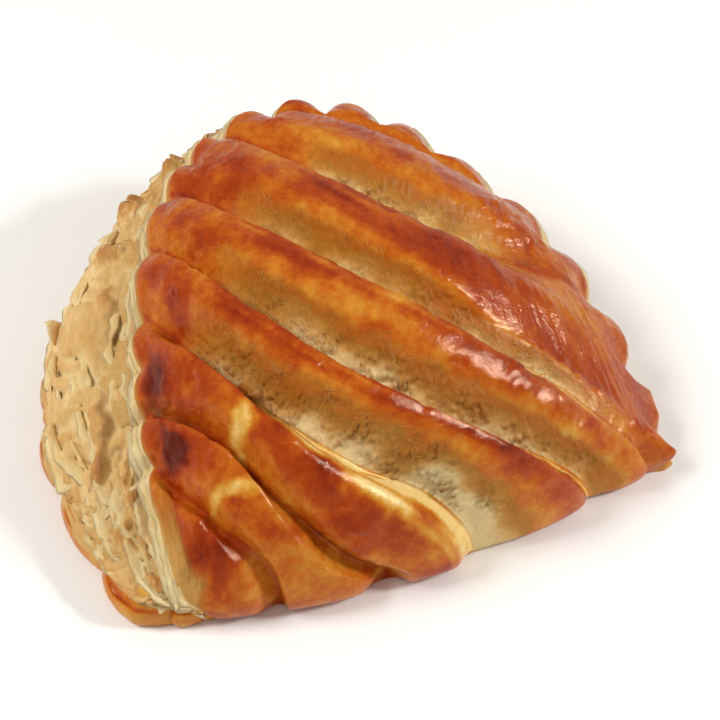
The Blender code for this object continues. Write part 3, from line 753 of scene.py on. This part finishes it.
def build_lower_rim():
    """The lower leaf's browned edge: pinched lobes, each with a dark slit where it was crimped."""
    angle = np.radians(np.linspace(*RIM_ANGLES, RIM_COLUMNS))
    reach = round_rim(LEAF_REACH, angle)
    leaf = round_rim(LEAF_THICKNESS, angle)
    notch = notched(LEAF_NOTCHES, angle)
    section = np.array(RIM_SECTION)
    rows = 4 * len(section)
    places = np.arange(rows) / 4
    closed = np.concatenate([section[-1:], section, section[:2]])
    section = catmull(closed, places)
    ends = ease(RIM_ANGLES[0], RIM_ANGLES[0] + 5, np.degrees(angle)) * ease(
        RIM_ANGLES[1], RIM_ANGLES[1] - 4, np.degrees(angle))
    out = section[None, :, 0] + reach[:, None] - LEAF_NOTCH_DEPTH * notch[:, None]
    up = section[None, :, 1] * leaf[:, None] * (1 - 0.12 * notch[:, None])
    out = np.where(ends[:, None] < 1, reach[:, None] - 8 + (out - reach[:, None] + 8) * ends[:, None], out)
    slit = (1 - notch[:, None]) ** 2.5 * np.exp(-((section[None, :, 0] + 1.3) / 0.55) ** 2) * (section[None, :, 1] > 0.6)
    slit = slit * (0.6 + 0.4 * blobs(np.stack([np.degrees(angle), 0 * angle], -1), 6, 31)[:, None])
    plan = rim_point(angle)[:, None] + outward(angle)[:, None] * out[..., None]
    rough = 0.5 * blobs(np.concatenate([plan, up[..., None]], -1).reshape(-1, 3), 3, 32).reshape(up.shape)
    up = np.maximum(up + rough * (up > 0.3) - 2.0 * slit * (up > 1), 0)
    points = np.concatenate([plan, up[..., None]], -1).reshape(-1, 3)
    index = np.arange(len(points)).reshape(RIM_COLUMNS, rows)
    around = np.roll(index, -1, 1)
    faces = np.stack([index[:-1], index[1:], around[1:], around[:-1]], -1).reshape(-1, 4)
    faces = faces.tolist() + [index[0].tolist(), index[-1, ::-1].tolist()]
    outer = ease(-6.5, -2.0, section[None, :, 0]) * np.ones_like(up)
    bake = 0.12 + 0.22 * outer + 0.55 * slit + 0.14 * blobs(points, 5, 33).reshape(up.shape)
    bake += 0.2 * ease(0.25, 0.05, up)
    zero = np.zeros(len(points))
    attributes = {"bake": bake.ravel(), "crumb": zero, "pale": zero, "pit_depth_and_shade": zero, "edge": zero}
    return make_mesh("lower_rim", points, faces, attributes)


def catmull(points, places):
    """Smooth values between the points of a row, whose first and last only give the direction."""
    i = np.floor(places).astype(int)
    u = (places - i)[:, None]
    a, b, c, d = (points[i + k] for k in range(4))
    return b + 0.5 * u * (c - a + u * (2 * a - 5 * b + 4 * c - d + u * (3 * (b - c) + d - a)))


STRAND = (1.7, 0.20, 0.05)  # half length, height of the arch and radius in mm
FLAKE = (1.5, 1.1, 0.14, 0.5)  # half length, half width, thickness and curl in mm


def strand_shape():
    """One arched thread of dough, its ends below the surface."""
    half, arch, radius = STRAND
    along = np.linspace(-1, 1, 9)
    turn = np.arange(4) * np.pi / 2
    middle = np.stack([half * along, 0.25 * half * np.sin(2.2 * along), arch * (1 - 1.6 * along**2)], -1)
    around = np.stack([0 * turn, np.cos(turn), np.sin(turn)], -1) * radius
    points = (middle[:, None] + around[None] * (1.15 - 0.5 * np.abs(along))[:, None, None]).reshape(-1, 3)
    return tube_mesh("strand", points, len(along), len(turn), {"bake": 0.30, "crumb": 1.0, "pale": 0.74, "pit_depth_and_shade": 0.0, "edge": 0.0})


def flake_shape():
    """One curled chip of thin dough, standing off on one side."""
    half, side, thick, curl = FLAKE
    along = np.linspace(-1, 1, 7)
    across = np.array([-1, -0.4, 0.4, 1, 0.4, -0.4])
    up = np.array([0, 0.5, 0.5, 0, -0.5, -0.5]) * thick
    width = side * (1 - 0.5 * along**2) * (1 + 0.25 * np.sin(5 * along))
    x = np.repeat(half * along, 6)
    y = (width[:, None] * across).ravel()
    z = (curl * (along[:, None] + 0.6) ** 2 + 0.3 * curl * across**2 + up).ravel()
    return tube_mesh("flake", np.stack([x, y, z], -1), len(along), 6, {"bake": 0.10, "gap": 0.05, "sheet": 1.0})


def tube_mesh(name, points, columns, rows, values):
    """A closed shape from rings of points, with the same value of each mask all over."""
    index = np.arange(columns * rows).reshape(columns, rows)
    turned = np.roll(index, -1, 1)
    faces = np.stack([index[:-1], index[1:], turned[1:], turned[:-1]], -1).reshape(-1, 4).tolist()
    faces += [index[0].tolist(), index[-1, ::-1].tolist()]
    return make_mesh(name, points, faces, {key: np.full(len(points), value) for key, value in values.items()})


def scatter_group():
    """Geometry nodes that scatter a small shape over a surface, by a mask, turned and sized at random."""
    group = bpy.data.node_groups.new("scatter_over_surface", "GeometryNodeTree")
    for name, kind in (("Surface", "Geometry"), ("Shape", "Object"), ("Mask", "String"), ("Density", "Float"),
                       ("Seed", "Int"), ("Tilt", "Float"), ("Smallest", "Float"), ("Material", "Material")):
        group.interface.new_socket(name, in_out="INPUT", socket_type="NodeSocket" + kind)
    group.interface.new_socket("Pieces", in_out="OUTPUT", socket_type="NodeSocketGeometry")
    given = group.nodes.new("NodeGroupInput").outputs

    def node(kind, settings=None, **links):
        return add(group, kind, settings, **links)

    mask = node("GeometryNodeInputNamedAttribute", {"data_type": "FLOAT"}, Name=given["Mask"]).outputs["Attribute"]
    density = node("ShaderNodeMath", {"operation": "MULTIPLY"}, i0=mask, i1=given["Density"]).outputs[0]
    spots = node("GeometryNodeDistributePointsOnFaces", None, Mesh=given["Surface"], Density=density, Seed=given["Seed"])
    low = node("ShaderNodeMath", {"operation": "MULTIPLY"}, i0=given["Tilt"], i1=-1.0).outputs[0]
    least = node("ShaderNodeCombineXYZ", None, X=low, Y=low).outputs[0]
    most = node("ShaderNodeCombineXYZ", None, X=given["Tilt"], Y=given["Tilt"], Z=2 * np.pi).outputs[0]
    turn = node("FunctionNodeRandomValue", {"data_type": "FLOAT_VECTOR"}, i0=least, i1=most, Seed=given["Seed"]).outputs[0]
    turn = node("FunctionNodeEulerToRotation", None, Euler=turn).outputs[0]
    turn = node("FunctionNodeRotateRotation", {"rotation_space": "LOCAL"}, Rotation=spots.outputs["Rotation"],
                Rotate_By=turn).outputs[0]
    size = node("FunctionNodeRandomValue", {"data_type": "FLOAT"}, i2=given["Smallest"], i3=1.0, Seed=given["Seed"])
    shape = node("GeometryNodeObjectInfo", None, Object=given["Shape"]).outputs["Geometry"]
    copies = node("GeometryNodeInstanceOnPoints", None, Points=spots.outputs["Points"], Instance=shape, Rotation=turn,
                  Scale=size.outputs[1])
    solid = node("GeometryNodeRealizeInstances", None, Geometry=copies.outputs[0]).outputs[0]
    finished = node("GeometryNodeSetMaterial", None, Geometry=solid, Material=given["Material"]).outputs[0]
    node("NodeGroupOutput", None, Pieces=finished)
    return group


def scatter(name, group, surface, shape, settings):
    """A piece made of many copies of a small shape, scattered over a surface piece."""
    carrier = bpy.data.objects.new(name, surface.data.copy())
    bpy.context.scene.collection.objects.link(carrier)
    modifier = carrier.modifiers.new("scatter", "NODES")
    modifier.node_group = group
    for socket in group.interface.items_tree:
        if socket.in_out == "INPUT" and socket.name in settings:
            modifier[socket.identifier] = settings[socket.name]
        elif socket.in_out == "INPUT" and socket.name == "Shape":
            modifier[socket.identifier] = shape
    bpy.context.view_layer.update()
    evaluated = carrier.evaluated_get(bpy.context.evaluated_depsgraph_get())
    made = bpy.data.meshes.new_from_object(evaluated)
    carrier.modifiers.remove(modifier)
    carrier.data = made
    bpy.data.objects.remove(shape, do_unlink=True)
    return carrier


# ---------------------------------------------------------------- materials
def linear(hex_colour):
    """A colour in sRGB hex, as the linear RGBA that a shader takes."""
    channels = [int(hex_colour[i:i + 2], 16) / 255 for i in (1, 3, 5)]
    return [c / 12.92 if c <= 0.04045 else ((c + 0.055) / 1.055) ** 2.4 for c in channels] + [1.0]


def add(material, kind, settings=None, **links):
    """A node with its settings, and its inputs by name, each from a socket or a value."""
    tree = getattr(material, "node_tree", material)
    node = tree.nodes.new(kind)
    for key, value in (settings or {}).items():
        setattr(node, key, value)
    for key, value in links.items():
        wanted = key.replace("_", " ")
        socket = node.inputs[int(key[1:])] if key[0] == "i" and key[1:].isdigit() else node.inputs[wanted]
        if isinstance(value, bpy.types.NodeSocket):
            tree.links.new(value, socket)
        else:
            socket.default_value = value
    return node


def ramp(material, factor, stops):
    """A colour ramp through (place, hex colour) stops."""
    node = add(material, "ShaderNodeValToRGB", i0=factor)
    elements = node.color_ramp.elements
    while len(elements) < len(stops):
        elements.new(0.5)
    for element, (place, colour) in zip(elements, stops):
        element.position = place
        element.color = linear(colour)
    return node.outputs["Color"]


def new_material(name):
    material = bpy.data.materials.new(name)
    material.use_nodes = True
    return material, material.node_tree.nodes["Principled BSDF"]


def egg_washed_puff_pastry():
    """Puff pastry baked under egg wash: glossy, golden to mahogany, and matt pale crumb where it tore."""
    material, shader = new_material("egg_washed_puff_pastry")
    place = add(material, "ShaderNodeTexCoord").outputs["Object"]

    def mask(name):
        return add(material, "ShaderNodeAttribute", {"attribute_name": name}).outputs["Fac"]

    def noise(size, detail=3.0, rough=0.55, vector=place):
        return add(material, "ShaderNodeTexNoise", Vector=vector, Scale=1 / size, Detail=detail,
                   Roughness=rough).outputs["Fac"]

    def maths(operation, a, b, c=0.0, clamp=False):
        return add(material, "ShaderNodeMath", {"operation": operation, "use_clamp": clamp}, i0=a, i1=b, i2=c).outputs[0]

    crumb, pit_depth_and_shade, edge = mask("crumb"), mask("pit_depth_and_shade"), mask("edge")
    bake = maths("MULTIPLY_ADD", noise(0.005), 0.22, maths("SUBTRACT", mask("bake"), 0.11))
    bake = maths("MULTIPLY_ADD", noise(0.0016, 4), 0.32, maths("SUBTRACT", bake, 0.16))
    bake = maths("MULTIPLY_ADD", noise(0.0004), 0.10, maths("SUBTRACT", bake, 0.05))
    glaze = ramp(material, bake, [(0.0, "#E4C27C"), (0.14, "#D6A248"), (0.30, "#C88228"), (0.46, "#BA5F16"),
                                  (0.60, "#A6400E"), (0.80, "#87280A"), (1.0, "#5A1508")])
    paleness = maths("MULTIPLY_ADD", noise(0.0012, 4), 0.30, maths("SUBTRACT", mask("pale"), 0.15))
    inside = ramp(material, paleness, [(0.0, "#A85E1C"), (0.25, "#A46C26"), (0.55, "#B37F3C"), (0.80, "#C89E5E"),
                                       (1.0, "#D8C08C")])
    colour = add(material, "ShaderNodeMix", {"data_type": "RGBA"}, i0=crumb, i6=glaze, i7=inside).outputs[2]
    # painted shade in the crumb's pores and the steam hole
    colour = add(material, "ShaderNodeMix", {"data_type": "RGBA"}, i0=maths("MULTIPLY", pit_depth_and_shade, 0.65, clamp=True),
                 i6=colour, i7=linear("#8F5418")).outputs[2]
    # painted highlight along the torn lips' crests
    colour = add(material, "ShaderNodeMix", {"data_type": "RGBA"}, i0=maths("MULTIPLY", edge, 0.85), i6=colour,
                 i7=linear("#F0CB80")).outputs[2]
    roughness = maths("MULTIPLY_ADD", crumb, 0.45, 0.14)
    roughness = maths("MULTIPLY_ADD", noise(0.003), 0.14, maths("SUBTRACT", roughness, 0.07))
    bumps = maths("MULTIPLY_ADD", noise(0.0007, 5, 0.6), 0.5, maths("MULTIPLY", noise(0.0018, 3), 0.6))
    bump = add(material, "ShaderNodeBump", Strength=0.4, Distance=0.0008, Height=bumps).outputs[0]
    tree = material.node_tree
    tree.links.new(colour, shader.inputs["Base Color"])
    tree.links.new(roughness, shader.inputs["Roughness"])
    tree.links.new(bump, shader.inputs["Normal"])
    shader.inputs["IOR"].default_value = 1.5
    shader.inputs["Specular IOR Level"].default_value = 0.22
    shader.inputs["Specular Tint"].default_value = (*linear("#F9DFBE")[:3], 1)
    shader.inputs["Subsurface Weight"].default_value = 0.06
    shader.inputs["Subsurface Radius"].default_value = (1.0, 0.5, 0.2)
    shader.inputs["Subsurface Scale"].default_value = 0.001
    return material


def open_puff_layers():
    """Puff pastry inside the crust: matt, cream and translucent at the sheets' edges, and golden to brown in the gaps
    as painted shade.
    """
    material, shader = new_material("open_puff_layers")
    place = add(material, "ShaderNodeTexCoord").outputs["Object"]

    def mask(name):
        return add(material, "ShaderNodeAttribute", {"attribute_name": name}).outputs["Fac"]

    def noise(size, detail=3.0, rough=0.55, vector=place):
        return add(material, "ShaderNodeTexNoise", Vector=vector, Scale=1 / size, Detail=detail,
                   Roughness=rough).outputs["Fac"]

    def maths(operation, a, b, c=0.0, clamp=False):
        return add(material, "ShaderNodeMath", {"operation": operation, "use_clamp": clamp}, i0=a, i1=b, i2=c).outputs[0]

    lay = add(material, "ShaderNodeAttribute", {"attribute_name": "lay"}).outputs["Vector"]
    fibres = add(material, "ShaderNodeMapping", Vector=lay, Scale=(0.12, 1.0, 0.5)).outputs[0]
    # the gap mask darkens the tone: painted shade in gaps and hollows and towards the sheets' roots
    tone = maths("MULTIPLY_ADD", mask("gap"), 0.55, maths("MULTIPLY", mask("bake"), 0.9))
    tone = maths("MULTIPLY_ADD", noise(0.0035), 0.30, maths("SUBTRACT", tone, 0.13))
    tone = maths("MULTIPLY_ADD", noise(0.0006, vector=fibres), 0.26, maths("SUBTRACT", tone, 0.13))
    colour = ramp(material, tone, [(0.0, "#EBD09A"), (0.18, "#DFBC80"), (0.36, "#D2A664"), (0.55, "#BE8644"),
                                   (0.75, "#9E622A"), (1.0, "#703C18")])
    bumps = maths("MULTIPLY_ADD", noise(0.0005, 4, vector=fibres), 0.8, maths("MULTIPLY", noise(0.0012, 4), 0.6))
    bump = add(material, "ShaderNodeBump", Strength=0.6, Distance=0.0006, Height=bumps).outputs[0]
    tree = material.node_tree
    tree.links.new(colour, shader.inputs["Base Color"])
    tree.links.new(bump, shader.inputs["Normal"])
    shader.inputs["Roughness"].default_value = 0.55
    shader.inputs["Subsurface Weight"].default_value = 0.25
    shader.inputs["Subsurface Radius"].default_value = (1.0, 0.6, 0.3)
    shader.inputs["Subsurface Scale"].default_value = 0.0015
    return material


# ---------------------------------------------------------------- the room
CAMERA_TARGET = Vector((6.71, -11.26, 19.0)) * MM
CAMERA_AZIMUTH = -20.0
CAMERA_ELEVATION = 50.0
CAMERA_DISTANCE = 0.463
CAMERA_LENS = 100.0


def facing(azimuth, elevation):
    """The unit vector from the subject towards a viewer at this azimuth and elevation, in degrees."""
    a, e = np.radians(azimuth), np.radians(elevation)
    return Vector((np.sin(a) * np.cos(e), -np.cos(a) * np.cos(e), np.sin(e)))


def place_camera():
    camera = bpy.data.objects.new("camera", bpy.data.cameras.new("camera"))
    back = facing(CAMERA_AZIMUTH, CAMERA_ELEVATION)
    camera.location = CAMERA_TARGET + back * CAMERA_DISTANCE
    camera.rotation_euler = back.to_track_quat("Z", "Y").to_euler()
    camera.data.lens = CAMERA_LENS
    camera.data.sensor_width = 36.0
    camera.data.clip_start = 0.01
    bpy.context.scene.collection.objects.link(camera)
    bpy.context.scene.camera = camera


def place_softbox(name, azimuth, elevation, distance, width, height, watts):
    light = bpy.data.objects.new(name, bpy.data.lights.new(name, "AREA"))
    light.data.shape = "RECTANGLE"
    light.data.size = width
    light.data.size_y = height
    light.data.energy = watts
    direction = facing(azimuth, elevation)
    light.location = CAMERA_TARGET + direction * distance
    light.rotation_euler = direction.to_track_quat("Z", "Y").to_euler()
    bpy.context.scene.collection.objects.link(light)
    return light


def place_floor():
    half = 3.0
    data = bpy.data.meshes.new("floor")
    data.from_pydata([(-half, -half, 0), (half, -half, 0), (half, half, 0), (-half, half, 0)], [], [(0, 1, 2, 3)])
    floor = bpy.data.objects.new("floor", data)
    bpy.context.scene.collection.objects.link(floor)
    material, shader = new_material("matt_white_table")
    shader.inputs["Base Color"].default_value = linear("#F4F2EE")
    shader.inputs["Roughness"].default_value = 0.7
    data.materials.append(material)


def light_room():
    world = bpy.data.worlds.new("studio")
    bpy.context.scene.world = world
    world.use_nodes = True
    background = world.node_tree.nodes["Background"]
    background.inputs["Color"].default_value = linear("#F6F4F0")
    background.inputs["Strength"].default_value = 0.46
    place_softbox("window", 62, 38, 0.9, 0.14, 0.09, 4.0)
    place_softbox("glint", 66, 38, 0.9, 0.22, 0.07, 20.0).visible_diffuse = False
    place_softbox("fill", -105, 48, 1.2, 0.5, 0.5, 10.0).visible_glossy = False
    bpy.context.scene.view_settings.view_transform = "Standard"


def main():
    place_camera()
    place_floor()
    light_room()
    crust = egg_washed_puff_pastry()
    layers = open_puff_layers()
    body, wall, group = build_body(), build_wall(), scatter_group()
    webs = scatter("crumb_threads", group, body, strand_shape(),
                   {"Mask": "webbed", "Density": 4.5e5, "Seed": 5, "Tilt": 0.5, "Smallest": 0.5, "Material": crust})
    flakes = scatter("loose_flakes", group, wall, flake_shape(),
                     {"Mask": "flaking", "Density": 3.5e4, "Seed": 8, "Tilt": 0.7, "Smallest": 0.4, "Material": layers})
    for piece, material in ((body, crust), (build_lower_rim(), crust), (wall, layers), (build_leaf_edge(), layers),
                            (build_wall_sheets(), layers), (webs, None), (flakes, None)):
        if material:
            piece.data.materials.append(material)
        print("TRIS", piece.name, sum(len(f.vertices) - 2 for f in piece.data.polygons))
        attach(piece, "root")
        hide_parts("turnover")


main()
